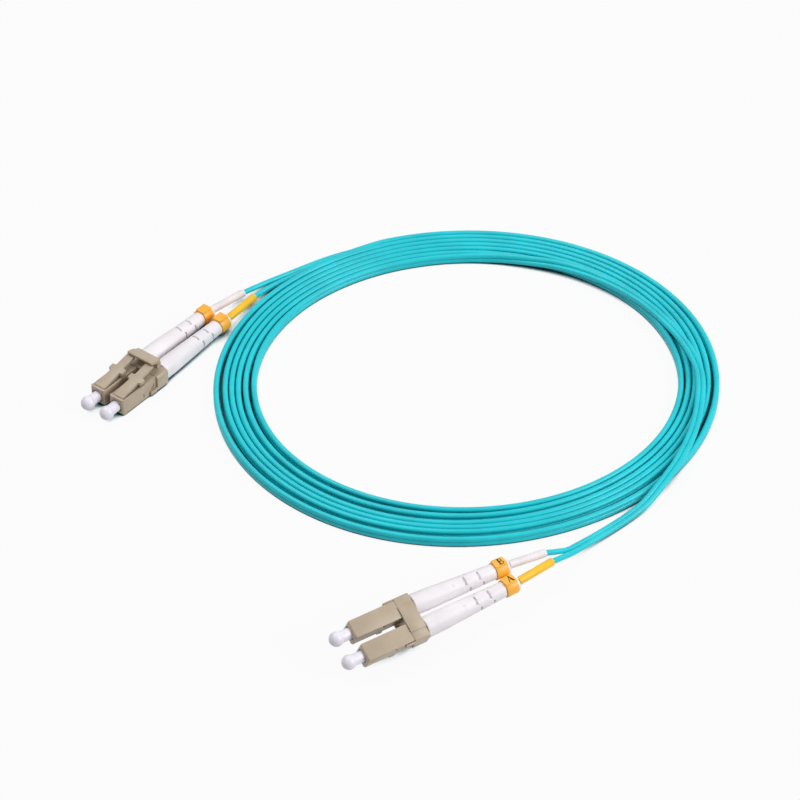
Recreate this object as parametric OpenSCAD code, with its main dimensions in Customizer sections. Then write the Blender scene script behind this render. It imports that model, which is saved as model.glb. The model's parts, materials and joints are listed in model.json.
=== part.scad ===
// Duplex LC to LC fiber optic patch cord, in millimetres.
// The origin is under the clip of the far connector, +Z is up and the cord lies on z = 0.
// Each plug is drawn in its own frame: +X is forward with 0 at the housing's front face,
// +Y is across the pair of plugs and +Z is the side that carries the latch.

/* [Connector] */
// Distance between the axes of the two plugs in a pair
plug_pitch = 6.25; // [6.25:0.01:6.4]
// Width and height of a plug's front housing
housing_w = 4.5; // [4.4:0.05:4.6]
// Length of a front housing
housing_len = 12.6; // [12.4:0.1:12.8]
// Diameter of the ceramic ferrule
ferrule_d = 1.25; // [1.249:0.001:1.251]
// How far a ferrule springs back when the plug mates
ferrule_travel = 0.8; // [0.5:0.1:0.8]
// Length of a strain relief boot
boot_len = 26.6; // [25:0.1:27]
// Diameter of a boot at the clip
boot_d = 5.2; // [5:0.1:5.3]
// How far a dust cap stands out of its housing
cap_reach = 5.45; // [5:0.05:6]

/* [Cord] */
// Diameter of one jacket of the zip cord
jacket_d = 1.4; // [1.3:0.05:1.4]
// Thickness of the web between the two jackets
web_t = 0.25; // [0.2:0.05:0.3]
// Radius of the coil's innermost turn
coil_inner_r = 51.8; // [50:0.1:53]
// Number of turns in the coil, outside the turn that the near end makes within it
coil_turns = 6; // [4:1:6]
// Least step from one turn to the next
turn_step = 1.66; // [1.66:0.01:1.9]

/* [Hidden] */
$fn = 48;

housing_c = [0.71, 0.65, 0.56];
white_c = [0.93, 0.91, 0.95];
ring_c = [1.0, 0.68, 0.2];
yellow_c = [0.96, 0.76, 0.12];
aqua_c = [0.12, 0.69, 0.73];
ceramic_c = [0.97, 0.97, 0.95];
metal_c = [0.75, 0.75, 0.76];
buffer_c = [0.85, 0.88, 0.9];

half = housing_w / 2;
side = plug_pitch / 2;

// Latch and trigger hinges, each a round bead in a round groove
bead_r = 0.45;
groove_r = 0.5;
latch_pin = [-1.2, 2.3];
trigger_top = 5.7;
trigger_half = 4.05;

// Body and clip stations along the plug
clip_front = -housing_len - 0.2;
clip_end = clip_front - 4;
collar_end = clip_front - 2.2;
trigger_front = clip_front - 0.1;
trigger_pin = [clip_end + 0.65, 3.6];
clip_half = side + half + 0.575;
pad_t = 0.35;
boot_front = clip_end - 0.2;
boot_end = boot_front - boot_len;
ring_front = boot_end + 4;
ring_back = ring_front - 3.2;
sleeve_end = clip_end - 3.8;
jacket_start = clip_end - 2.05;
cavity_d = 3.4;
wall_back = -4.4;
collar_d = 2.9;
flange_back = -5.6;
spring_seat = -10.0;

// Connector poses: the far pair stands on its clip, the near pair is turned over onto its trigger
far_pos = [-9.1, -11.67, half + pad_t];
far_rot = [0, 0, 232];
near_rot = [151, 1.5, 212];
trigger_corners = [for (s = [-1, 1]) [trigger_front, s * trigger_half, trigger_top]];
near_lift = -min([for (c = trigger_corners) turned(c, near_rot)[2]]);
near_pos = [54.5, -105, near_lift];
// Each boot leans towards its neighbour by this many degrees behind the clip
near_toe = 1.7;
far_toe = 0.8;

// Route of the zip cord from the near split up onto the coil and down inside it: x, y, z, roll
near_route = [
    [106.4, -67.7, 2.5, 0],
    [111.6, -62.6, 1.7, 0],
    [116.6, -57.8, 1.2, 0],
    [121.0, -53.6, 1.2, 0],
    [125.0, -49.8, 2.0, 0],
    [128.2, -45.6, 3.1, 0],
    [131.2, -40.6, 3.5, 0],
    [134.0, -35.0, 3.45, 0],
    [137.9, -24.5, 3.45, 0],
    [140.2, -13.5, 3.45, 0],
    [140.9, -2.5, 3.45, 0],
    [139.2, 6.2, 3.45, 0],
    [135.4, 15.4, 3.45, 0],
    [129.2, 25.4, 3.45, 2],
    [122.6, 32.7, 3.4, 9],
    [115.3, 38.5, 3.2, 22],
    [107.4, 43.0, 2.9, 42],
    [99.0, 45.9, 2.35, 62],
    [90.4, 47.8, 1.8, 78],
    [81.7, 48.3, 1.43, 87],
    [73.0, 47.4, 1.35, 90]
];
// Route of the zip cord from the coil's end to the far split
far_route = [
    [53.0, 51.7, 1.2, 135],
    [44.9, 47.7, 0.92, 162],
    [37.3, 42.7, 0.75, 180]
];

// Marker sleeves, from and to, counted from the end of their boot
near_a_sleeve = [[0.5, 0.4, 0.1], [8.6, 8.7, -1.3]];
near_b_sleeve = [[0.5, 0.4, 0], [9.1, 6.8, -2.1]];
far_a_sleeve = [[0.6, 0.8, -0.1], [6.8, 10.2, -0.8]];
far_b_sleeve = [[0.5, 0.7, -0.1], [8.3, 8.8, -0.9]];
// The bend of each leg before the split
near_a_bend = [104.1, -71.7, 4.0];
near_b_bend = [103.0, -70.4, 4.6];
far_a_bend = [30.9, 36.2, 1.2];
far_b_bend = [29.4, 37.8, 1.2];

// Zip cord section: two jackets whose centres lie this far from the middle of the web
web_half = jacket_d / 2 - web_t / (2 * sqrt(3));
cord_half = web_half + jacket_d / 2;

// Coil: an opening spiral, a little out of round, whose steps widen in places. Each of them has
// a turn at which it comes in, a width, the angle at which it is widest and how narrow it is.
coil_middle = [81.7, -1.65];
coil_drift = [0, 0.03];
coil_start = 110;
coil_oval = [1.79, 0.78];
wide_gaps = [
    [0.85, 0.95, 232, 4], [1.9, 1, 252, 4], [0.5, -0.6, 38, 8], [1.3, 0.6, 38, 8], [4.9, 1.1, 265, 1]
];
rings_per_turn = 24;

ENDS = ["near", "far"];
SIDES = ["a", "b"];
PIECES = [
    "front_housing", "latch", "ferrule", "flange", "spring", "rear_body",
    "crimp_sleeve", "buffer", "boot", "polarity_ring", "dust_cap", "marker_sleeve", "leg"
];

// ---------- vectors and placing ----------

function unit(v) = v / norm(v);
function spin_x(p, a) = [p[0], p[1] * cos(a) - p[2] * sin(a), p[1] * sin(a) + p[2] * cos(a)];
function spin_y(p, a) = [p[0] * cos(a) + p[2] * sin(a), p[1], p[2] * cos(a) - p[0] * sin(a)];
function spin_z(p, a) = [p[0] * cos(a) - p[1] * sin(a), p[0] * sin(a) + p[1] * cos(a), p[2]];
function turned(p, r) = spin_z(spin_y(spin_x(p, r[0]), r[1]), r[2]);

// Plug A is on the near pair's right and the far pair's left
function side_of(e, s) = (e == "far") == (s == "a") ? 1 : -1;
function pose_pos(e) = e == "near" ? near_pos : far_pos;
function pose_rot(e) = e == "near" ? near_rot : far_rot;
function toe_of(e, s) = (e == "near" ? near_toe : far_toe) * side_of(e, s);
// A point on the axis of a boot, which leans about the clip's rear face
function boot_axis(e, s, u) =
    let (p = spin_z([u - clip_end, 0, 0], toe_of(e, s)) + [clip_end, side * side_of(e, s), 0])
    pose_pos(e) + turned(p, pose_rot(e));

module at_pair(e) {
    translate(pose_pos(e)) rotate(pose_rot(e)) children();
}

module at_plug(e, s) {
    at_pair(e) translate([0, side * side_of(e, s), 0]) children();
}

module at_boot(e, s) {
    at_plug(e, s) translate([clip_end, 0, 0]) rotate([0, 0, toe_of(e, s)])
        translate([-clip_end, 0, 0]) children();
}

// ---------- small shapes ----------

module rod(from, to, d) {
    translate([from, 0, 0]) rotate([0, 90, 0]) cylinder(h = to - from, d = d);
}

module bar_y(at, r, len) {
    translate([at[0], 0, at[1]]) rotate([90, 0, 0]) cylinder(h = len, r = r, center = true);
}

module block(from, to, w, h) {
    translate([from, -w / 2, -h / 2]) cube([to - from, w, h]);
}

// Prism across the plug, from an outline seen from its side
module side_cut(points, w) {
    rotate([90, 0, 0]) linear_extrude(w, center = true) polygon(points);
}

// Prism through the plug's height, from an outline seen from above
module plan_cut(points) {
    translate([0, 0, -10]) linear_extrude(20) polygon(points);
}

// Solid of revolution about the plug's axis: each point is a place along it and a radius
module turned_x(points) {
    rotate([0, 90, 0]) rotate_extrude() polygon([for (p = points) [p[1], p[0]]]);
}

// A closed skin through a list of rings with equal numbers of points; caps are the end faces
module skin(rings, caps = undef) {
    n = len(rings[0]);
    last = len(rings) - 1;
    ends = is_undef(caps) ? [[for (j = [0:n - 1]) j]] : caps;
    sides = [for (i = [0:last - 1]) for (j = [0:n - 1])
        let (a = i * n + j, b = i * n + (j + 1) % n)
        each [[a, b, b + n], [a, b + n, a + n]]];
    start = [for (c = ends) [for (k = [len(c) - 1:-1:0]) c[k]]];
    finish = [for (c = ends) [for (j = c) last * n + j]];
    polyhedron(points = [for (r = rings) each r], faces = concat(sides, start, finish));
}

// ---------- plug pieces ----------

module front_housing() color(housing_c) {
    chamfer = 0.35;
    lip = 0.2;
    difference() {
        intersection() {
            side_cut([
                [-housing_len, -half], [-chamfer, -half], [0, chamfer - half], [0, half + lip],
                [-0.75, half + lip], [-0.75, half], [-housing_len, half]
            ], housing_w);
            plan_cut([
                [-housing_len, -half], [-chamfer, -half], [0, chamfer - half], [0, half - chamfer],
                [-chamfer, half], [-housing_len, half]
            ]);
        }
        rod(-3.5, 1, cavity_d);
        rod(wall_back - 1, -3, 2);
        rod(-housing_len - 1, wall_back, cavity_d);
        bar_y(latch_pin, groove_r, 3.6);
        translate([-7.4, -1.8, half - 0.3]) cube([5.9, 3.6, 1]);
        block(-housing_len + 0.6, -housing_len + 1.8, housing_w + 1, 1.2);
        for (s = [-1, 1]) translate([-8.2, s * half - 0.2, -1.65]) cube([0.6, 0.4, 1.3]);
    }
}

module latch() color(housing_c) {
    rise = 0.19;
    root_top = 2.54;
    tail = clip_front - 0.6;
    tail_top = root_top + rise * (latch_pin[0] - tail);
    intersection() {
        side_cut([
            [-1.2, 2.05], [-5, 2.41], [-8.6, 3.14], [tail + 0.3, tail_top - 0.75],
            [tail, tail_top - 0.45], [tail + 0.15, tail_top - 0.03], [-1.2, root_top]
        ], 6);
        plan_cut([
            [-1.2, -1.55], [-1.2, 1.55], [-6.9, 1.35], [-7.2, 2.2], [-8.6, 2.2], [-8.8, 1.15],
            [tail, 1.15], [tail, -1.15], [-8.8, -1.15], [-8.6, -2.2], [-7.2, -2.2], [-6.9, -1.35]
        ]);
    }
    bar_y(latch_pin, bead_r, 3.1);
}

module ferrule() color(ceramic_c) {
    bevel = 0.15;
    turned_x([
        [-5.4, 0], [-5.4, ferrule_d / 2], [1.1 - bevel, ferrule_d / 2],
        [1.1, ferrule_d / 2 - bevel], [1.1, 0]
    ]);
}

module flange() color(metal_c) difference() {
    union() {
        rod(flange_back, wall_back - 0.05, collar_d);
        rod(-8.8, flange_back, 1.8);
    }
    rod(-5.4, 0, ferrule_d);
    rod(-9, -5.3, 1);
}

module spring() color(metal_c) {
    wire = 0.3;
    curls = 5;
    rings_per_curl = 8;
    wire_sides = 6;
    coil_r = 1.25;
    from = flange_back - wire / 2;
    pitch = (spring_seat + ferrule_travel + 0.05 + wire / 2 - from) / curls;
    skin([for (i = [0:curls * rings_per_curl])
        let (t = i / rings_per_curl, a = 360 * t)
        [for (j = [0:wire_sides - 1])
            let (b = 360 * j / wire_sides, r = coil_r + wire / 2 * cos(b))
            [from + pitch * t + wire / 2 * sin(b), r * cos(a), r * sin(a)]]]);
}

module rear_body() color(housing_c) difference() {
    collar = 4.3;
    union() {
        rod(-housing_len, spring_seat, cavity_d - 0.1);
        block(-housing_len + 0.7, -housing_len + 1.7, housing_w - 0.3, 1);
        block(collar_end, -housing_len, collar, collar);
        rod(clip_end - 1.8, collar_end, 2.4);
    }
    rod(clip_end - 2, -9, 1.1);
}

module crimp_sleeve() color(metal_c) difference() {
    rod(sleeve_end, collar_end - 0.5, 3.4);
    rod(sleeve_end + 1.4, collar_end, 2.8);
    rod(sleeve_end - 1, clip_end - 2, jacket_d + 0.2);
}

module buffer() color(buffer_c) rod(jacket_start + 0.05, -6.5, 0.9);

module arc_slot(at, middle, r_in) {
    span = 70;
    rotate([0, 90, 0]) rotate([0, 0, middle - span / 2]) translate([0, 0, at])
        rotate_extrude(angle = span) translate([r_in, 0]) square([3, 0.5]);
}

module boot() color(white_c) difference() {
    ring_r = 1.75;
    lip_r = 1.95;
    shoulder = boot_front - 4;
    turned_x([
        [boot_front, 0], [boot_front, boot_d / 2 - 0.15], [boot_front - 0.15, boot_d / 2],
        [shoulder, boot_d / 2], [ring_front, 1.95], [ring_front, ring_r], [ring_back - 0.1, ring_r],
        [ring_back - 0.1, lip_r], [boot_end + 0.2, lip_r], [boot_end, lip_r - 0.2], [boot_end, 0]
    ]);
    rod(shoulder, 0, 3.6);
    rod(boot_end - 1, 0, jacket_d + 0.2);
    for (at = [ring_front + 8.2, ring_front + 4.4]) for (quarter = [0:3])
        arc_slot(at - 0.9 * (quarter % 2), 90 * quarter, 1.3);
}

// The ring is a snap-on C with a flat pad on top for its letter
module polarity_ring(roll) color(ring_c) rotate([roll, 0, 0]) {
    inner_r = 1.8;
    outer_r = 2.25;
    half_gap = 30;
    middle_r = (inner_r + outer_r) / 2;
    length = ring_front - ring_back - 0.1;
    translate([ring_back, 0, 0]) rotate([0, 90, 0]) linear_extrude(length) {
        difference() {
            circle(outer_r);
            circle(inner_r);
            polygon([[0, 0], [4, 4 * tan(half_gap)], [4, -4 * tan(half_gap)]]);
        }
        for (s = [-1, 1]) rotate(s * half_gap) translate([middle_r, 0]) circle(0.2);
    }
    translate([ring_back, -1.3, 1.82]) cube([length, 2.6, 0.58]);
}

// A ball on a neck
module dust_cap() color(white_c) difference() {
    ball_r = 1.85;
    neck_r = 1.45;
    ball_at = cap_reach - ball_r;
    first = -acos(neck_r / ball_r);
    steps = 10;
    turned_x(concat(
        [[-3.3, 0], [-3.3, neck_r - 0.2], [-3.1, neck_r]],
        [for (i = [0:steps]) let (a = first + (90 - first) * i / steps)
            [ball_at + ball_r * sin(a), ball_r * cos(a)]]
    ));
    rod(-4, 1.5, ferrule_d + 0.1);
}

// ---------- pieces that join a pair ----------

module clip() color(housing_c) {
    tab_w = 0.45;
    difference() {
        union() {
            block(clip_end, clip_front, 2 * clip_half, 2 * half);
            translate([clip_end, -3.3, -half - pad_t]) cube([clip_front - clip_end + 0.1, 6.6, 1]);
            for (s = [-1, 1]) translate([clip_front - 0.1, s * (clip_half - tab_w / 2) - tab_w / 2, -2])
                cube([2.7, tab_w, 1.1]);
            translate([clip_end, -3.6, half - 0.5]) cube([1.3, 7.2, 2]);
        }
        bar_y(trigger_pin, groove_r, 8);
        for (s = [-1, 1]) {
            translate([0, s * side, 0]) block(collar_end - 0.1, 0, 4.4, 4.4);
            translate([0, s * side, 0]) rod(clip_end - 1, 0, 3.9);
            for (z = [-half, half]) translate([clip_end, s * clip_half, z]) rotate([45, 0, 0])
                cube([9, 0.6, 0.6], center = true);
        }
    }
}

module trigger() color(housing_c) {
    pin = trigger_pin[0];
    intersection() {
        side_cut([
            [pin - 0.25, 3.6], [pin + 0.25, 3.6], [pin + 0.45, 4.15], [trigger_front, 5.1],
            [trigger_front, trigger_top - 0.15], [trigger_front - 0.2, trigger_top],
            [trigger_front - 0.7, trigger_top], [pin - 0.45, 4.75], [pin - 0.65, 4.5],
            [pin - 0.45, 4.15]
        ], 10);
        plan_cut([
            [pin - 0.85, -3.6], [pin + 0.55, -3.6], [pin + 1.05, -trigger_half],
            [trigger_front, -trigger_half], [trigger_front, trigger_half],
            [pin + 1.05, trigger_half], [pin + 0.55, 3.6], [pin - 0.85, 3.6]
        ]);
    }
    bar_y(trigger_pin, bead_r, 7.2);
}

// ---------- legs ----------

module between(from, to, d) {
    v = to - from;
    translate(from) rotate([0, acos(v[2] / norm(v)), atan2(v[1], v[0])]) cylinder(h = norm(v), d = d);
}

function sleeve_of(e, s) =
    let (rows = e == "near"
        ? (s == "a" ? near_a_sleeve : near_b_sleeve)
        : (s == "a" ? far_a_sleeve : far_b_sleeve))
    [for (r = rows) boot_axis(e, s, boot_end) + r];
function bend_of(e, s) = e == "near"
    ? (s == "a" ? near_a_bend : near_b_bend)
    : (s == "a" ? far_a_bend : far_b_bend);

module marker_sleeve(e, s) color(s == "a" ? yellow_c : white_c) {
    ends = sleeve_of(e, s);
    over = 0.2 * unit(ends[1] - ends[0]);
    difference() {
        between(ends[0], ends[1], 2.05);
        between(ends[0] - over, ends[1] + over, jacket_d + 0.1);
    }
}

// Points of a tube's ring about p, across the direction of travel
function round_ring(p, along, r, n) =
    let (across = unit(cross(along, [0, 0, 1])), up = cross(across, unit(along)))
    [for (j = [0:n - 1]) p + r * (cos(360 * j / n) * across + sin(360 * j / n) * up)];

function travel(points, i) =
    unit(points[min(i + 1, len(points) - 1)] - points[max(i - 1, 0)]);

// The split, and the direction from it into the zip cord
function split_at(e) = xyz(e == "near" ? near_route[0] : far_route[len(far_route) - 1]);
function split_along(e) =
    unit(xyz(e == "near" ? near_route[1] : far_route[len(far_route) - 2]) - split_at(e));

// Where a leg meets the split: beside the middle of the zip cord
function split_point(e, s) =
    split_at(e) + (s == "a" ? 1 : -1) * (jacket_d / 2 + 0.02) * unit(cross(split_along(e), [0, 0, 1]));

function leg_route(e, s) = concat(
    [boot_axis(e, s, jacket_start), boot_axis(e, s, boot_end - 0.2)],
    sleeve_of(e, s),
    [bend_of(e, s), split_point(e, s) - jacket_d * split_along(e)],
    [split_point(e, s) - 0.02 * split_along(e)]
);

module leg(e, s) color(aqua_c) {
    route = leg_route(e, s);
    last = len(route) - 1;
    skin([for (i = [0:last])
        round_ring(route[i], i == last ? split_along(e) : travel(route, i), jacket_d / 2, 8)]);
}

// ---------- zip cord ----------

function xyz(p) = [p[0], p[1], p[2]];

// Outline of the zip cord about p: each jacket has six sides and the web joins them
function zip_ring(p, along, roll) =
    let (
        t = unit(along),
        right = unit(cross(t, [0, 0, 1])),
        up = cross(right, t),
        d = cos(roll) * right + sin(roll) * up,
        n = cos(roll) * up - sin(roll) * right,
        r = jacket_d / 2
    )
    concat(
        [for (a = [-120, -60, 0, 60, 120]) p + (web_half + r * cos(a)) * d + r * sin(a) * n],
        [p + web_t / 2 * n],
        [for (a = [60, 120, 180, 240, 300]) p + (r * cos(a) - web_half) * d + r * sin(a) * n],
        [p - web_t / 2 * n]
    );

// The ends of the zip cord are closed by one convex face for each jacket
ZIP_CAPS = [[0, 1, 2, 3, 4, 5, 11], [5, 6, 7, 8, 9, 10, 11]];

// Smooth step from 0 to 1 as x goes from -1/2 to 1/2
function ease(x) = let (c = max(0, min(1, x + 0.5))) c * c * (3 - 2 * c);

function coil_point(t) =
    let (
        a = coil_start + 360 * t,
        gaps = [for (g = wide_gaps)
            g[1] * ease((t - g[0]) * 2) * pow(0.5 + 0.5 * cos(a - g[2]), g[3])],
        r = coil_inner_r + turn_step * t + coil_oval[0] * cos(2 * a) + coil_oval[1] * sin(2 * a)
            + gaps * [for (g = gaps) 1]
    )
    [
        coil_middle[0] + coil_drift[0] * t + r * cos(a),
        coil_middle[1] + coil_drift[1] * t + r * sin(a),
        cord_half
    ];

function coil_along(t) = coil_point(t + 0.01) - coil_point(t - 0.01);

coil_rings = [for (i = [0:coil_turns * rings_per_turn])
    let (t = i / rings_per_turn) zip_ring(coil_point(t), coil_along(t), 90)];

// Least gap between neighbouring turns, over all pairs of outline points
coil_gap = min([for (i = [0:len(coil_rings) - rings_per_turn - 1])
    for (k = [-1:1]) let (j = i + rings_per_turn + k) if (j < len(coil_rings))
        for (p = coil_rings[i]) min([for (q = coil_rings[j]) norm(p - q)])]);
echo(coil_least_gap_mm = coil_gap);

module coil() color(aqua_c) skin(coil_rings, ZIP_CAPS);

// Catmull-Rom point between p1 and p2
function smooth(p0, p1, p2, p3, t) = 0.5 * (
    2 * p1 + (p2 - p0) * t + (2 * p0 - 5 * p1 + 4 * p2 - p3) * t * t
    + (3 * p1 - p0 - 3 * p2 + p3) * t * t * t
);

// Finer points along a route of x, y, z, roll rows, led on by a row before and a row after it
function refined(rows, steps) = concat(
    [for (i = [1:len(rows) - 3]) for (k = [0:steps - 1])
        smooth(rows[i - 1], rows[i], rows[i + 1], rows[i + 2], k / steps)],
    [rows[len(rows) - 2]]
);

// Zip cord through rows of x, y, z, roll, whose end faces look along the two given directions
module zip_run(rows, first, last) color(aqua_c) {
    points = [for (r = rows) xyz(r)];
    n = len(rows) - 1;
    skin([for (i = [0:n])
        zip_ring(points[i], i == 0 ? first : i == n ? last : travel(points, i), rows[i][3])], ZIP_CAPS);
}

function coil_row(t) = concat(coil_point(t), [90]);

module near_lead() {
    before = 2 * near_route[0] - near_route[1];
    rows = refined(concat([before], near_route, [coil_row(0), coil_row(0.02)]), 2);
    zip_run(rows, split_along("near"), coil_along(0));
}

module far_lead() {
    last = len(far_route) - 1;
    after = 2 * far_route[last] - far_route[last - 1];
    rows = refined(concat([coil_row(coil_turns - 0.02), coil_row(coil_turns)], far_route, [after]), 3);
    zip_run(rows, coil_along(coil_turns), -split_along("far"));
}

// ---------- the cord with its connectors ----------

module plug_piece(e, s, piece) {
    if (piece == "front_housing") at_plug(e, s) front_housing();
    if (piece == "latch") at_plug(e, s) latch();
    if (piece == "ferrule") at_plug(e, s) ferrule();
    if (piece == "flange") at_plug(e, s) flange();
    if (piece == "spring") at_plug(e, s) spring();
    if (piece == "rear_body") at_plug(e, s) rear_body();
    if (piece == "dust_cap") at_plug(e, s) dust_cap();
    if (piece == "buffer") at_plug(e, s) buffer();
    if (piece == "crimp_sleeve") at_boot(e, s) crimp_sleeve();
    if (piece == "boot") at_boot(e, s) boot();
    if (piece == "polarity_ring") at_boot(e, s) polarity_ring(e == "near" ? -near_rot[0] : 0);
    if (piece == "marker_sleeve") marker_sleeve(e, s);
    if (piece == "leg") leg(e, s);
}

for (e = ENDS) {
    for (s = SIDES) for (piece = PIECES)
        plug_piece(e, s, piece);
    at_pair(e) clip();
    at_pair(e) trigger();
}
coil();
near_lead();
far_lead();
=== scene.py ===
import json
import math

import bmesh
import bpy
from mathutils import Matrix, Vector


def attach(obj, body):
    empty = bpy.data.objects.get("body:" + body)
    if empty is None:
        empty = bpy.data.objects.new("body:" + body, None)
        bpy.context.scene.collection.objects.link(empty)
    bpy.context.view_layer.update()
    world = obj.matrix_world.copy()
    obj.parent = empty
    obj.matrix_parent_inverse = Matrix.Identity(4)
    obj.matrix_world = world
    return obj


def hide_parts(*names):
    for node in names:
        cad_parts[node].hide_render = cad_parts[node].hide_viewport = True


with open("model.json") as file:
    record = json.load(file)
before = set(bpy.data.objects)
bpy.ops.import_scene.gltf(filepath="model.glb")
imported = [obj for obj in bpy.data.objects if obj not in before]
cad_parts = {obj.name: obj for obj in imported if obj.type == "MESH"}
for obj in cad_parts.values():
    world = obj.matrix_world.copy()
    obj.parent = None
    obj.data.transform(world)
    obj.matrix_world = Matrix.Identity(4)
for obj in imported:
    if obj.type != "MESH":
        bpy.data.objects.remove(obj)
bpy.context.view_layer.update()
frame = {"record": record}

ROOT = "cord_and_plugs"
MM = 0.001
UP = Vector((0, 0, 1))


# ---------- the sizes and places of the CAD model, in millimetres and degrees ----------

# Between the axes of the two plugs of an end
PITCH = 6.25
# Along a plug's axis, where 0 is the front of its housing and what is behind it is negative
CLIP_END = -16.8
JACKET_START = -18.85
BOOT_END = -43.6
JACKET_D = 1.4
WEB_T = 0.25

# An end that is turned over rests on these corners of its trigger
TRIGGER_CORNERS = [Vector((-12.9, s * 4.05, 5.7)) for s in (-1, 1)]
TURN = {"near": (151, 1.5, 212), "far": (0, 0, 232)}
# How far each boot leans towards the other
TOE = {"near": 1.7, "far": 0.8}


def rotation(degrees):
    """Turn about X, then Y, then Z, as part.scad does."""
    x, y, z = (math.radians(d) for d in degrees)
    return Matrix.Rotation(z, 4, "Z") @ Matrix.Rotation(y, 4, "Y") @ Matrix.Rotation(x, 4, "X")


NEAR_LIFT = -min((rotation(TURN["near"]) @ c).z for c in TRIGGER_CORNERS)
PLACE = {"near": Vector((54.5, -105, NEAR_LIFT)), "far": Vector((-9.1, -11.67, 2.6))}


def side_of(end, plug):
    """1 or -1: the side of its end's middle that a plug is on, along the end's own Y."""
    return 1 if (end == "far") == (plug == "a") else -1


def at_boot(end, plug):
    """Matrix from a boot's frame to the row frame: its plug's own, leaning about the clip's rear."""
    s = side_of(end, plug)
    lean = Matrix.Rotation(math.radians(TOE[end] * s), 4, "Z")
    about = Matrix.Translation((CLIP_END, 0, 0)) @ lean @ Matrix.Translation((-CLIP_END, 0, 0))
    return (
        Matrix.Translation(PLACE[end]) @ rotation(TURN[end])
        @ Matrix.Translation((0, s * PITCH / 2, 0)) @ about
    )


# Route rows: x, y, z of the cord's middle and its roll
NEAR_ROUTE = [
    (106.4, -67.7, 2.5, 0),
    (111.6, -62.6, 1.7, 0),
    (116.6, -57.8, 1.2, 0),
    (121.0, -53.6, 1.2, 0),
    (125.0, -49.8, 2.0, 0),
    (128.2, -45.6, 3.1, 0),
    (131.2, -40.6, 3.5, 0),
    (134.0, -35.0, 3.45, 0),
    (137.9, -24.5, 3.45, 0),
    (140.2, -13.5, 3.45, 0),
    (140.9, -2.5, 3.45, 0),
    (139.2, 6.2, 3.45, 0),
    (135.4, 15.4, 3.45, 0),
    (129.2, 25.4, 3.45, 2),
    (122.6, 32.7, 3.4, 9),
    (115.3, 38.5, 3.2, 22),
    (107.4, 43.0, 2.9, 42),
    (99.0, 45.9, 2.35, 62),
    (90.4, 47.8, 1.8, 78),
    (81.7, 48.3, 1.43, 87),
    (73.0, 47.4, 1.35, 90),
]
FAR_ROUTE = [
    (53.0, 51.7, 1.2, 135),
    (44.9, 47.7, 0.92, 162),
    (37.3, 42.7, 0.75, 180),
]
# Marker sleeves, from and to, counted from the end of their boot
SLEEVES = {
    "near_a": ((0.5, 0.4, 0.1), (8.6, 8.7, -1.3)),
    "near_b": ((0.5, 0.4, 0), (9.1, 6.8, -2.1)),
    "far_a": ((0.6, 0.8, -0.1), (6.8, 10.2, -0.8)),
    "far_b": ((0.5, 0.7, -0.1), (8.3, 8.8, -0.9)),
}
# The bend of each leg before the split
BENDS = {
    "near_a": (104.1, -71.7, 4.0),
    "near_b": (103.0, -70.4, 4.6),
    "far_a": (30.9, 36.2, 1.2),
    "far_b": (29.4, 37.8, 1.2),
}

# Coil: an opening spiral, a little out of round, whose steps widen in places
COIL_MIDDLE = (81.7, -1.65)
COIL_DRIFT = (0, 0.03)
COIL_START = 110
COIL_INNER_R = 51.8
COIL_OVAL = (1.79, 0.78)
COIL_TURNS = 6
TURN_STEP = 1.66
# The turn at which each comes in, its width, the angle at which it is widest, and how narrow it is
WIDE_GAPS = (
    (0.85, 0.95, 232, 4), (1.9, 1, 252, 4), (0.5, -0.6, 38, 8), (1.3, 0.6, 38, 8), (4.9, 1.1, 265, 1),
)
# The share of a turn over which each comes in
WIDENS_OVER = 0.5
# Half the height of the zip cord on edge, whose jackets run into each other in the web
CORD_HALF = JACKET_D - WEB_T / (2 * math.sqrt(3))

# Points along each stretch of a route, and along each turn of the coil
STEPS_PER_ROW = 8
STEPS_PER_TURN = 180
# How far along the coil, in turns, lies the point that the routes into it are aimed at
AIM_TURNS = 0.02


def ease(x):
    """0 up to -0.5, 1 from 0.5 on, and smooth between."""
    c = max(0.0, min(1.0, x + 0.5))
    return c * c * (3 - 2 * c)


def coil_point(t):
    """The cord's middle, t turns from the coil's inner end."""
    a = COIL_START + 360 * t
    r = COIL_INNER_R + TURN_STEP * t
    r += COIL_OVAL[0] * math.cos(math.radians(2 * a)) + COIL_OVAL[1] * math.sin(math.radians(2 * a))
    for at, width, toward, power in WIDE_GAPS:
        r += (
            width * ease((t - at) / WIDENS_OVER)
            * (0.5 + 0.5 * math.cos(math.radians(a - toward))) ** power
        )
    return Vector((
        COIL_MIDDLE[0] + COIL_DRIFT[0] * t + r * math.cos(math.radians(a)),
        COIL_MIDDLE[1] + COIL_DRIFT[1] * t + r * math.sin(math.radians(a)),
        CORD_HALF,
    ))


def coil_row(t):
    """A route row on the coil, where the cord stands on edge."""
    return (*coil_point(t), 90)


def smooth(p, t):
    """Catmull-Rom value between the second and third of four."""
    return [
        0.5 * (
            2 * b + (c - a) * t + (2 * a - 5 * b + 4 * c - d) * t * t
            + (3 * b - a - 3 * c + d) * t ** 3
        )
        for a, b, c, d in zip(*p)
    ]


def refined(rows):
    """Catmull-Rom through all rows but the first and last, which only aim its ends."""
    found = []
    for i in range(1, len(rows) - 2):
        for k in range(STEPS_PER_ROW):
            found.append(smooth(rows[i - 1:i + 3], k / STEPS_PER_ROW))
    found.append(list(rows[-2]))
    return found


def carried_on(row, other):
    """The row as far beyond row as other is before it."""
    return tuple(2 * a - b for a, b in zip(row, other))


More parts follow.
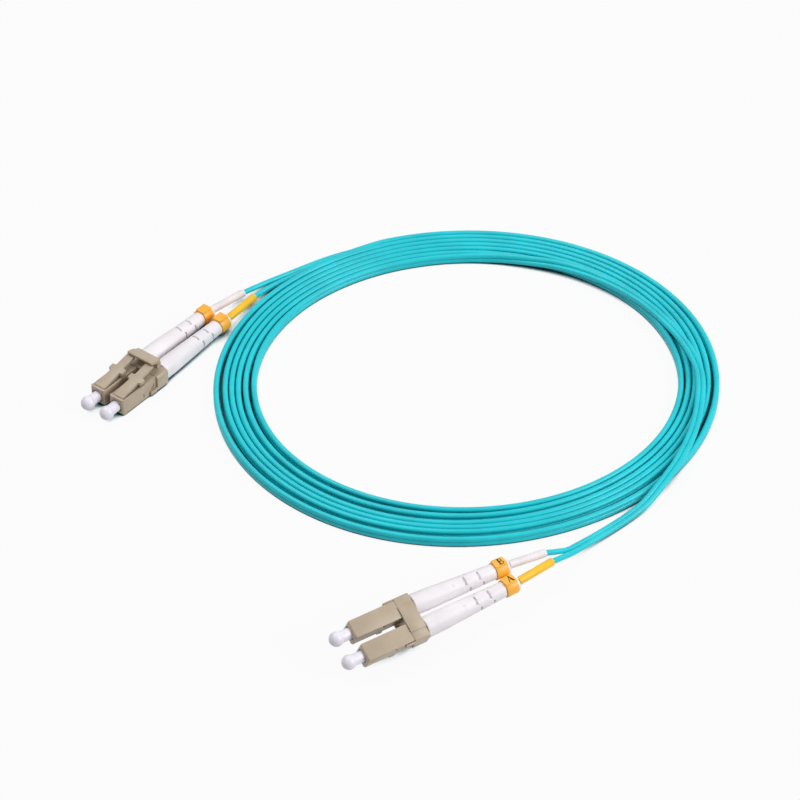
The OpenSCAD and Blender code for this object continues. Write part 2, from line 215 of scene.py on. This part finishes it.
def zip_rows():
    """The zip cord's middle line from the near split to the far one, with its roll."""
    before = carried_on(NEAR_ROUTE[0], NEAR_ROUTE[1])
    near = refined([before, *NEAR_ROUTE, coil_row(0), coil_row(AIM_TURNS)])
    coil = [list(coil_row(i / STEPS_PER_TURN)) for i in range(1, COIL_TURNS * STEPS_PER_TURN)]
    after = carried_on(FAR_ROUTE[-1], FAR_ROUTE[-2])
    far = refined([coil_row(COIL_TURNS - AIM_TURNS), coil_row(COIL_TURNS), *FAR_ROUTE, after])
    return near + coil + far


def heading(points, i):
    """The direction of a line at one of its points."""
    return (points[min(i + 1, len(points) - 1)] - points[max(i - 1, 0)]).normalized()


def zip_frames(rows):
    """Middle, the direction from jacket B to jacket A, and the way along, for each row."""
    points = [Vector(r[:3]) for r in rows]
    found = []
    for i, p in enumerate(points):
        along = heading(points, i)
        right = along.cross(UP).normalized()
        up = right.cross(along)
        roll = math.radians(rows[i][3])
        to_a = math.cos(roll) * right + math.sin(roll) * up
        found.append((p, to_a, along))
    return found


# ---------- camera, at the photograph's angle ----------

# The camera's angle above the table, the point that it looks at and its distance from there
ELEVATION = math.radians(40)
LOOK_AT = Vector((64.8, -8.3, 0))
DISTANCE = 1000
# The focal length and the picture's side in pixels, and the sensor's side in millimetres
FOCAL_PIXELS = 3950
IMAGE_SIDE = 800
SENSOR = 36
# The nearest and furthest that the camera sees, in metres
CLIP_RANGE = (0.05, 20)

camera_data = bpy.data.cameras.new("camera")
camera_data.sensor_width = SENSOR
camera_data.lens = SENSOR * FOCAL_PIXELS / IMAGE_SIDE
camera_data.clip_start, camera_data.clip_end = CLIP_RANGE
camera = bpy.data.objects.new("camera", camera_data)
back = Vector((0, -math.cos(ELEVATION), math.sin(ELEVATION)))
camera.location = (LOOK_AT + DISTANCE * back) * MM
camera.rotation_euler = (math.pi / 2 - ELEVATION, 0, 0)
bpy.context.collection.objects.link(camera)
bpy.context.scene.camera = camera


# ---------- materials ----------

# Noise values at which the clouds' darker tone ends and the lighter one begins
CLOUD_SPAN = (0.35, 0.68)
CLOUD_DETAIL = 4
GRAIN_DETAIL = 3
# How far below and above a material's roughness the grain takes it
GLOSS_SPAN = (0.06, 0.08)
GRAIN_DEPTH = 0.04 * MM


def linear(r, g, b):
    """A colour from 0 to 255, as the screen shows it, in linear light."""
    out = []
    for v in (r, g, b):
        v /= 255
        out.append(v / 12.92 if v <= 0.04045 else ((v + 0.055) / 1.055) ** 2.4)
    return (*out, 1)


def finish(name, colour, shade, roughness, spread, grain, bump, **shader):
    """Two tones in soft clouds, and a fine grain in gloss and height.

    Colour and shade are the lighter and the darker tone. Spread and grain are how fine the clouds and
    the grain are, as noise scales for each metre, and bump is the grain's strength in height.
    """
    material = bpy.data.materials.new(name)
    material.use_nodes = True
    tree = material.node_tree
    nodes, links = tree.nodes, tree.links
    surface = nodes["Principled BSDF"]
    place = nodes.new("ShaderNodeTexCoord")
    clouds = nodes.new("ShaderNodeTexNoise")
    clouds.inputs["Scale"].default_value = spread
    clouds.inputs["Detail"].default_value = CLOUD_DETAIL
    fine = nodes.new("ShaderNodeTexNoise")
    fine.inputs["Scale"].default_value = grain
    fine.inputs["Detail"].default_value = GRAIN_DETAIL
    tones = nodes.new("ShaderNodeValToRGB")
    for stop, position, tone in zip(tones.color_ramp.elements, CLOUD_SPAN, (shade, colour)):
        stop.position = position
        stop.color = linear(*tone)
    gloss = nodes.new("ShaderNodeMapRange")
    gloss.inputs["To Min"].default_value = roughness - GLOSS_SPAN[0]
    gloss.inputs["To Max"].default_value = roughness + GLOSS_SPAN[1]
    height = nodes.new("ShaderNodeBump")
    height.inputs["Strength"].default_value = bump
    height.inputs["Distance"].default_value = GRAIN_DEPTH
    for texture in (clouds, fine):
        links.new(place.outputs["Object"], texture.inputs["Vector"])
    links.new(clouds.outputs["Fac"], tones.inputs["Fac"])
    links.new(tones.outputs["Color"], surface.inputs["Base Color"])
    links.new(fine.outputs["Fac"], gloss.inputs["Value"])
    links.new(gloss.outputs["Result"], surface.inputs["Roughness"])
    links.new(fine.outputs["Fac"], height.inputs["Height"])
    links.new(height.outputs["Normal"], surface.inputs["Normal"])
    for socket, value in shader.items():
        surface.inputs[socket.replace("_", " ")].default_value = value
    return material


MATERIALS = {
    "housing": finish("beige_plastic", (184, 168, 147), (176, 160, 138), 0.42, 260, 9000, 0.16),
    "boot_white": finish("white_elastomer", (243, 238, 242), (234, 229, 233), 0.5, 200, 7000, 0.14),
    "cap_white": finish("white_cap_plastic", (243, 240, 249), (233, 229, 241), 0.36, 220, 8000, 0.08),
    "ring_orange": finish("orange_plastic", (255, 193, 72), (253, 178, 52), 0.4, 300, 8000, 0.1),
    "sleeve_yellow": finish("yellow_sleeve", (250, 196, 34), (242, 186, 24), 0.4, 250, 8000, 0.1),
    "sleeve_white": finish("white_sleeve", (240, 233, 236), (230, 222, 226), 0.45, 250, 8000, 0.1),
    "jacket_aqua": finish(
        "aqua_jacket", (20, 209, 221), (14, 196, 208), 0.38, 120, 1500, 0.03, Specular_IOR_Level=0.4,
    ),
    "ceramic": finish("zirconia", (246, 246, 240), (240, 240, 234), 0.15, 300, 9000, 0.02),
    "buffer": finish("buffer_coating", (226, 230, 236), (216, 221, 228), 0.35, 300, 6000, 0.06),
    "steel": finish(
        "drawn_steel", (190, 190, 192), (171, 171, 172.8), 0.3, 300, 9000, 0.1, Metallic=1,
    ),
}
INK = finish("black_ink", (30, 22, 20), (18, 14, 14), 0.5, 400, 9000, 0.05)


# ---------- mesh helpers ----------

def coat(piece, material):
    piece.data.materials.clear()
    piece.data.materials.append(material)


def link(name, mesh, material):
    piece = bpy.data.objects.new(name, mesh)
    bpy.context.collection.objects.link(piece)
    coat(piece, material)
    return piece


def skinned(name, skins, material):
    """A piece of one or more closed skins, each given as a row of rings of points in millimetres."""
    mesh = bpy.data.meshes.new(name)
    bm = bmesh.new()
    for rings in skins:
        rows = [[bm.verts.new(p * MM) for p in ring] for ring in rings]
        for one, two in zip(rows, rows[1:]):
            for j in range(len(one)):
                k = (j + 1) % len(one)
                bm.faces.new((one[j], one[k], two[k], two[j]))
        bm.faces.new(rows[0][::-1])
        bm.faces.new(rows[-1])
    bmesh.ops.recalc_face_normals(bm, faces=bm.faces)
    bm.to_mesh(mesh)
    bm.free()
    return link(name, mesh, material)


def tube(name, points, radius, sides, material):
    """A smooth tube along a list of points in millimetres, with flat ends."""
    across = None
    rings = []
    for i, p in enumerate(points):
        along = heading(points, i)
        if across is None:
            across = along.cross(UP).normalized()
        across = (across - across.dot(along) * along).normalized()
        up = across.cross(along)
        angles = [2 * math.pi * j / sides for j in range(sides)]
        rings.append([p + radius * (math.cos(a) * across + math.sin(a) * up) for a in angles])
    piece = skinned(name, [rings], material)
    for face in piece.data.polygons:
        face.use_smooth = len(face.vertices) == 4
    return piece


# ---------- the cord ----------

ZIP = zip_frames(zip_rows())
# A little fuller than the solids' jackets, so that the gaps are as narrow as in the photograph
JACKET_R = 0.715
JACKET_SIDES = 16
# From the cord's middle to each jacket's, in the zip cord and where the legs part
HALF_GAP = 0.61
LEG_GAP = 0.72
# Points of the zip cord's line over which the legs come together
MERGE_POINTS = 8
# How far a leg runs on straight behind its boot, and the spacing of its points
STRAIGHT_BEHIND = 0.2
STRAIGHT_STEP = 1
LEG_STEP = 1.5
# The share of the gap between the jackets' middles that the web spans
WEB_SHARE = 0.8


def stepped(a, b):
    """Points from a up to b, evenly spaced, without b."""
    count = round((b - a).length / STRAIGHT_STEP)
    return [a.lerp(b, k / count) for k in range(count)]


def sleeve_ends(end, plug):
    """The front and rear of a marker sleeve's middle line."""
    boot_end = at_boot(end, plug) @ Vector((BOOT_END, 0, 0))
    return [boot_end + Vector(p) for p in SLEEVES[f"{end}_{plug}"]]


def leg_points(end, plug):
    """A leg's line from inside its boot to the bend before the split.

    Its straight parts have points of their own, so that the curve after them doesn't swing into them.
    """
    m = at_boot(end, plug)
    start, tail = (m @ Vector((x, 0, 0)) for x in (JACKET_START, BOOT_END - STRAIGHT_BEHIND))
    front, rear = sleeve_ends(end, plug)
    return [*stepped(start, tail), tail, *stepped(front, rear), rear, Vector(BENDS[f"{end}_{plug}"])]


def eased_line(points):
    """Catmull-Rom through the points, about one point for each LEG_STEP."""
    rows = [points[0], *points, points[-1]]
    found = []
    for i in range(1, len(rows) - 2):
        span = (rows[i + 1] - rows[i]).length
        count = max(2, round(span / LEG_STEP))
        for k in range(count):
            found.append(Vector(smooth(rows[i - 1:i + 3], k / count)))
    found.append(points[-1])
    return found


def nearest(points, target):
    """The place in a list of its point nearest to the target."""
    return min(range(len(points)), key=lambda i: (points[i] - target).length)


def jacket_line(plug):
    """One jacket from boot to boot: its two legs, and its side of the zip cord."""
    s = 1 if plug == "a" else -1
    last = len(ZIP) - 1
    middle = []
    for i, (p, to_a, _) in enumerate(ZIP):
        share = ease(min(i, last - i) / MERGE_POINTS - 0.5)
        middle.append(p + s * (LEG_GAP + (HALF_GAP - LEG_GAP) * share) * to_a)
    near = eased_line(leg_points("near", plug) + [middle[0], middle[MERGE_POINTS]])
    far = eased_line([middle[last - MERGE_POINTS], middle[last]] + leg_points("far", plug)[::-1])
    return near[:nearest(near, middle[0])] + middle + far[nearest(far, middle[last]) + 1:]


CORD_NODES = {
    "a": ["near_a_leg", "far_a_leg", "coil", "near_lead", "far_lead"],
    "b": ["near_b_leg", "far_b_leg"],
}
for plug in "ab":
    line = jacket_line(plug)
    piece = tube(f"jacket_{plug}", line, JACKET_R, JACKET_SIDES, MATERIALS["jacket_aqua"])
    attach(piece, ROOT)
    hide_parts(*CORD_NODES[plug])


def zip_web():
    """The thin web that joins the two jackets."""
    reach, half = HALF_GAP * WEB_SHARE, WEB_T / 2
    corners = ((reach, half), (-reach, half), (-reach, -half), (reach, -half))
    rings = []
    for p, to_a, along in ZIP:
        n = to_a.cross(along).normalized()
        rings.append([p + x * to_a + y * n for x, y in corners])
    return skinned("zip_web", [rings], MATERIALS["jacket_aqua"])


web = zip_web()
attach(web, ROOT)


# ---------- the plugs, from the CAD nodes with their edges softened ----------

SLOT_OF = {entry["node"]: entry["material_slot"] for entry in frame["record"]["subparts"]}
BODY_OF = {
    node: body for body, nodes in frame["record"]["behaviour"]["bodies"].items() for node in nodes
}
# How far the edges of each kind of piece are rounded, in millimetres
EDGE = {
    "front_housing": 0.1, "latch": 0.1, "rear_body": 0.08, "boot": 0.08, "polarity_ring": 0.07,
    "dust_cap": 0.08, "marker_sleeve": 0.05, "clip": 0.12, "trigger": 0.12,
}
BEVEL_SEGMENTS = 2
# Vertices closer than WELD are merged, and faces that meet at less than FLAT_ANGLE are joined
WELD = 0.002 * MM
FLAT_ANGLE = math.radians(0.6)
# The least angles of an edge that is rounded, and of one that is shaded as sharp
BEVEL_ANGLE = math.radians(28)
SHARP_ANGLE = math.radians(35)
# How far a marker sleeve's front is pushed up to its boot, and how much of the sleeve its front is
SLEEVE_PUSH = 0.35
SLEEVE_FRONT = 2


def softened(node, width):
    """A copy of a CAD node with flat faces joined up and its edges rounded by width millimetres."""
    mesh = bpy.data.objects[node].data.copy()
    mesh.name = f"{node}_soft"
    bm = bmesh.new()
    bm.from_mesh(mesh)
    bmesh.ops.remove_doubles(bm, verts=bm.verts, dist=WELD)
    bmesh.ops.dissolve_limit(
        bm, angle_limit=FLAT_ANGLE, verts=bm.verts, edges=bm.edges, delimit={"NORMAL"},
    )
    bm.to_mesh(mesh)
    bm.free()
    piece = link(f"{node}_moulded", mesh, MATERIALS[SLOT_OF[node]])
    bevel = piece.modifiers.new("bevel", "BEVEL")
    bevel.width = width * MM
    bevel.segments = BEVEL_SEGMENTS
    bevel.limit_method = "ANGLE"
    bevel.angle_limit = BEVEL_ANGLE
    bpy.context.view_layer.update()
    done = bpy.data.meshes.new_from_object(piece.evaluated_get(bpy.context.evaluated_depsgraph_get()))
    piece.modifiers.clear()
    piece.data = done
    done.shade_smooth()
    done.set_sharp_from_angle(angle=SHARP_ANGLE)
    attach(piece, BODY_OF[node])
    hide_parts(node)
    return piece


def push_up(piece, end, plug):
    """Stretch a marker sleeve's front end up close to its boot."""
    front, rear = sleeve_ends(end, plug)
    along = (rear - front).normalized()
    for vertex in piece.data.vertices:
        if (vertex.co / MM - front).dot(along) < SLEEVE_FRONT:
            vertex.co -= along * SLEEVE_PUSH * MM


for node, slot in SLOT_OF.items():
    kind = next((k for k in EDGE if node.endswith(k)), None)
    if kind:
        moulded = softened(node, EDGE[kind])
        if kind == "marker_sleeve":
            push_up(moulded, *node.split("_")[:2])
    elif not bpy.data.objects[node].hide_render:
        coat(bpy.data.objects[node], MATERIALS[slot])


# ---------- the polarity letters on the near rings, and the boots' gate marks ----------

# Each letter is 2 high about its middle, in strokes of a line and a width
LETTERS = {
    "a": (
        (((-0.62, -1), (0.02, 1)), 0.16),
        (((-0.04, 0.98), (0.58, -1)), 0.38),
        (((-0.42, -0.35), (0.36, -0.35)), 0.16),
        (((-0.88, -0.95), (-0.36, -0.95)), 0.13),
        (((0.2, -0.95), (0.9, -0.95)), 0.13),
    ),
    "b": (
        (((-0.4, -1), (-0.4, 1)), 0.38),
        (((-0.75, 0.94), (-0.4, 0.94)), 0.13),
        (((-0.75, -0.94), (-0.4, -0.94)), 0.13),
        (
            ((-0.4, 0.92), (0.1, 0.92), (0.36, 0.76), (0.42, 0.5), (0.3, 0.22), (0.05, 0.08),
             (-0.4, 0.08)),
            0.2,
        ),
        (
            ((-0.4, 0.04), (0.15, 0.04), (0.46, -0.14), (0.56, -0.45), (0.44, -0.76), (0.15, -0.92),
             (-0.4, -0.92)),
            0.22,
        ),
    ),
}
LETTER_SCALE = 1.02
# The letter's middle on the pad, in the plug's frame once it is turned upright
LETTER_AT = (-41.6, 0)
PAD_TOP = 2.4
# The ink's underside and top, from the pad's
INK_BOTTOM = -0.03
INK_TOP = 0.02
# A gate mark's place along its boot and out from the axis, and the radius and height of its rings
MARK_ALONG = -28
MARK_OUT = 2.39
MARK_RINGS = ((0.34, -0.12), (0.34, 0.0), (0.28, 0.05), (0.2, 0.05), (0.14, -0.04))
MARK_SIDES = 16
# The turn about each end's axis that brings the marks to the side seen from above
MARK_TURN = {"near": 180, "far": 0}


def letter(name, strokes, place):
    """Printed strokes on a ring's pad: the letter's right is the plug's rear and its top is -Y."""
    skins = []
    for line, width in strokes:
        points = [Vector((x, y, 0)) for x, y in line]
        rings = []
        for i, p in enumerate(points):
            along = heading(points, i)
            off = Vector((-along.y, along.x, 0)) * width / 2
            one, two = (
                [LETTER_AT[axis] - LETTER_SCALE * q[axis] for axis in (0, 1)] for q in (p + off, p - off)
            )
            rings.append([
                place @ Vector((*at, PAD_TOP + z))
                for at, z in ((one, INK_BOTTOM), (two, INK_BOTTOM), (two, INK_TOP), (one, INK_TOP))
            ])
        skins.append(rings)
    piece = skinned(name, skins, INK)
    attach(piece, ROOT)


def gate_mark(name, place):
    """The small round mark that moulding leaves on a boot: a ring with a sunk middle."""
    angles = [2 * math.pi * j / MARK_SIDES for j in range(MARK_SIDES)]
    rings = [
        [place @ Vector((radius * math.cos(a), radius * math.sin(a), height)) for a in angles]
        for radius, height in MARK_RINGS
    ]
    piece = skinned(name, [rings], MATERIALS["boot_white"])
    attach(piece, ROOT)


for plug in "ab":
    upright = at_boot("near", plug) @ Matrix.Rotation(math.radians(-TURN["near"][0]), 4, "X")
    letter(f"near_{plug}_letter", LETTERS[plug], upright)
    for end, turn in MARK_TURN.items():
        mark_at = Matrix.Translation((MARK_ALONG, 0, 0)) @ Matrix.Rotation(math.radians(turn), 4, "X")
        place = at_boot(end, plug) @ mark_at @ Matrix.Translation((0, 0, MARK_OUT))
        gate_mark(f"{end}_{plug}_gate_mark", place)


# ---------- floor and light ----------

# The floor's colour and its glow in the open, and the painted shade, dark teal, that takes their place
# in the gaps among the cord's turns
FLOOR_OPEN = (0.6, 0.6, 0.6, 1)
FLOOR_GAP_PAINTED_SHADE = (0.0, 0.1, 0.11, 1)
GLOW_OPEN = (1, 1, 1, 1)
GLOW_GAP_PAINTED_SHADE = (0.0, 0.3, 0.36, 1)
# The glow's share of what the camera sees of the open floor, where the rest shows the shadows
GLOW_SHARE = 0.93
FLOOR_ROUGHNESS = 0.9
# How far the floor looks round for what covers it, and by how many rays
GAP_REACH = 4 * MM
GAP_SAMPLES = 16
# The share of clear rays at which a gap ends, and the share from which the floor counts as open
GAP_CLEAR = (0.25, 0.48)
# Half the floor's side, in metres, and how far it lies under the object
FLOOR_HALF = 3
FLOOR_BELOW = 0.05 * MM

# Each lamp's place, the side of its square, both in metres, and its power in watts
SOFTBOXES = {
    "key_softbox": ((1.25, -0.45, 0.85), 0.8, 15),
    "top_softbox": ((-0.45, 0.35, 1.4), 0.9, 10.5),
}
WHITE = (1, 1, 1, 1)
SURROUND = 0.3
LIT_AT = Vector((LOOK_AT.x * MM, LOOK_AT.y * MM, 0))


def math_node(tree, operation, one, two):
    """The output of a math node of two inputs, each another output or a number."""
    node = tree.nodes.new("ShaderNodeMath")
    node.operation = operation
    for socket, value in zip(node.inputs, (one, two)):
        if isinstance(value, bpy.types.NodeSocket):
            tree.links.new(value, socket)
        else:
            socket.default_value = value
    return node.outputs["Value"]


def mixed_colour(tree, factor, low, high):
    """A colour that goes from low to high as the factor goes from 0 to 1."""
    node = tree.nodes.new("ShaderNodeMix")
    node.data_type = "RGBA"
    node.inputs["A"].default_value = low
    node.inputs["B"].default_value = high
    tree.links.new(factor, node.inputs["Factor"])
    return node.outputs["Result"]


def show_mixed(tree, output, factor, one, two):
    """Put a mix of two shaders on the output's surface."""
    mix = tree.nodes.new("ShaderNodeMixShader")
    tree.links.new(factor, mix.inputs["Fac"])
    tree.links.new(one, mix.inputs[1])
    tree.links.new(two, mix.inputs[2])
    tree.links.new(mix.outputs["Shader"], tree.nodes[output].inputs["Surface"])


def seen_rays(tree):
    """1 for rays that look at or reflect the background, 0 for those that light the object."""
    path = tree.nodes.new("ShaderNodeLightPath")
    seen = path.outputs["Is Camera Ray"]
    for kind in ("Is Glossy Ray", "Is Transmission Ray"):
        seen = math_node(tree, "MAXIMUM", seen, path.outputs[kind])
    return seen


def openness(tree):
    """0 in the gaps among the cord's turns, where little light reaches the floor, and 1 in the open. It
    sets where the floor's painted shade goes.
    """
    around = tree.nodes.new("ShaderNodeAmbientOcclusion")
    around.samples = GAP_SAMPLES
    around.inputs["Distance"].default_value = GAP_REACH
    fade = tree.nodes.new("ShaderNodeMapRange")
    fade.interpolation_type = "SMOOTHSTEP"
    fade.inputs["From Min"].default_value, fade.inputs["From Max"].default_value = GAP_CLEAR
    tree.links.new(around.outputs["AO"], fade.inputs["Value"])
    return fade.outputs["Result"]


def floor_material():
    material = bpy.data.materials.new("white_floor")
    material.use_nodes = True
    tree = material.node_tree
    clear = openness(tree)
    surface = tree.nodes["Principled BSDF"]
    surface.inputs["Roughness"].default_value = FLOOR_ROUGHNESS
    surface.inputs["Specular IOR Level"].default_value = 0.0
    # Painted shade: the floor's colour goes to dark teal in the gaps among the cord's turns
    tree.links.new(mixed_colour(tree, clear, FLOOR_GAP_PAINTED_SHADE, FLOOR_OPEN), surface.inputs["Base Color"])
    glow = tree.nodes.new("ShaderNodeEmission")
    # Painted shade: the glow goes to a dim teal in the same gaps
    tree.links.new(mixed_colour(tree, clear, GLOW_GAP_PAINTED_SHADE, GLOW_OPEN), glow.inputs["Color"])
    lit = math_node(tree, "MULTIPLY", clear, seen_rays(tree))
    share = math_node(tree, "MULTIPLY", lit, GLOW_SHARE)
    show_mixed(tree, "Material Output", share, surface.outputs["BSDF"], glow.outputs["Emission"])
    return material


def laid_floor():
    mesh = bpy.data.meshes.new("floor")
    bm = bmesh.new()
    bmesh.ops.create_grid(bm, x_segments=1, y_segments=1, size=FLOOR_HALF)
    bm.to_mesh(mesh)
    bm.free()
    piece = link("floor", mesh, floor_material())
    piece.location = (LIT_AT.x, LIT_AT.y, -FLOOR_BELOW)
    return piece


def softbox(name, place, side, power):
    """A square lamp aimed at the object."""
    data = bpy.data.lights.new(name, "AREA")
    data.shape = "RECTANGLE"
    data.size = data.size_y = side
    data.energy = power
    lamp = bpy.data.objects.new(name, data)
    lamp.location = place
    lamp.rotation_euler = (LIT_AT - Vector(place)).to_track_quat("-Z", "Y").to_euler()
    bpy.context.collection.objects.link(lamp)


def studio_world():
    """White to the eye, and a plain dim surround for lighting the object."""
    world = bpy.data.worlds.new("studio")
    world.use_nodes = True
    tree = world.node_tree
    surround = tree.nodes["Background"]
    plain = tree.nodes.new("ShaderNodeBackground")
    for shader, strength in ((surround, SURROUND), (plain, 1)):
        shader.inputs["Color"].default_value = WHITE
        shader.inputs["Strength"].default_value = strength
    dim, bright = surround.outputs["Background"], plain.outputs["Background"]
    show_mixed(tree, "World Output", seen_rays(tree), dim, bright)
    return world


floor = laid_floor()
for name, (place, side, power) in SOFTBOXES.items():
    softbox(name, place, side, power)
bpy.context.scene.world = studio_world()
bpy.context.scene.view_settings.view_transform = "Standard"
